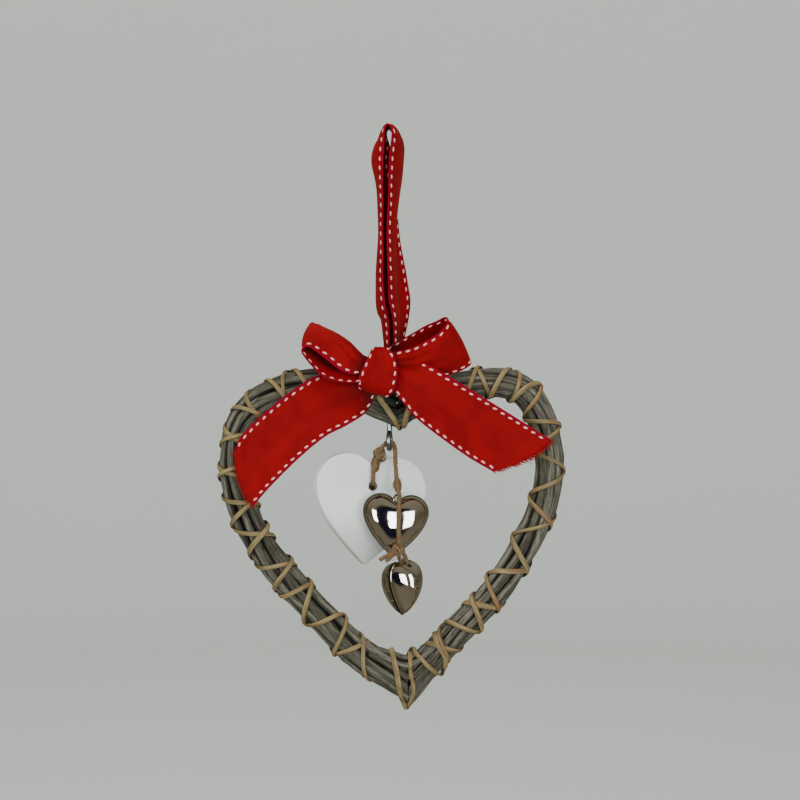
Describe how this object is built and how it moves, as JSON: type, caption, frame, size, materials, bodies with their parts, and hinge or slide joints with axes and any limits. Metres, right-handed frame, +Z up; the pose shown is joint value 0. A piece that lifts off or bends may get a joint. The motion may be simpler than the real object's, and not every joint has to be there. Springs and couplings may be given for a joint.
{
  "type": "wicker heart ornament",
  "caption": "Heart of bound willow rods that hangs from a ribbon loop with a bow, with a wooden heart and heart bells on twine in its middle.",
  "frame": {"origin": "inside top of the ribbon loop, where a nail or hook holds it", "axes": "+Z up along the hanging loop, the front with the bow faces -Y, +X to the viewer's right"},
  "size_m": [0.149, 0.0303, 0.2508],
  "materials": {
    "grey_willow": "grey-washed",
    "split_cane": "dry split cane",
    "red_ribbon": "woven, with stitched edges",
    "wire": "dull plated",
    "jute_twine": "hairy jute",
    "white_paint": "matt paint",
    "silver_plate": "polished"
  },
  "bodies": {
    "root": {"left_rod_1": "grey_willow", "left_rod_2": "grey_willow", "left_rod_3": "grey_willow", "left_rod_4": "grey_willow", "left_rod_5": "grey_willow", "left_rod_6": "grey_willow", "left_rod_7": "grey_willow", "left_rod_8": "grey_willow", "left_inner_rod": "grey_willow", "right_rod_1": "grey_willow", "right_rod_2": "grey_willow", "right_rod_3": "grey_willow", "right_rod_4": "grey_willow", "right_rod_5": "grey_willow", "right_rod_6": "grey_willow", "right_rod_7": "grey_willow", "right_rod_8": "grey_willow", "right_inner_rod": "grey_willow", "left_cane_a": "split_cane", "left_cane_b": "split_cane", "right_cane_a": "split_cane", "right_cane_b": "split_cane", "tip_cane": "split_cane", "hanging_ribbon": "red_ribbon", "bow": "red_ribbon", "screw_eye": "wire", "heart_twine": "jute_twine", "bell_twine": "jute_twine", "wooden_heart": "white_paint", "large_bell": "silver_plate", "small_bell": "silver_plate"}
  },
  "joints": []
}
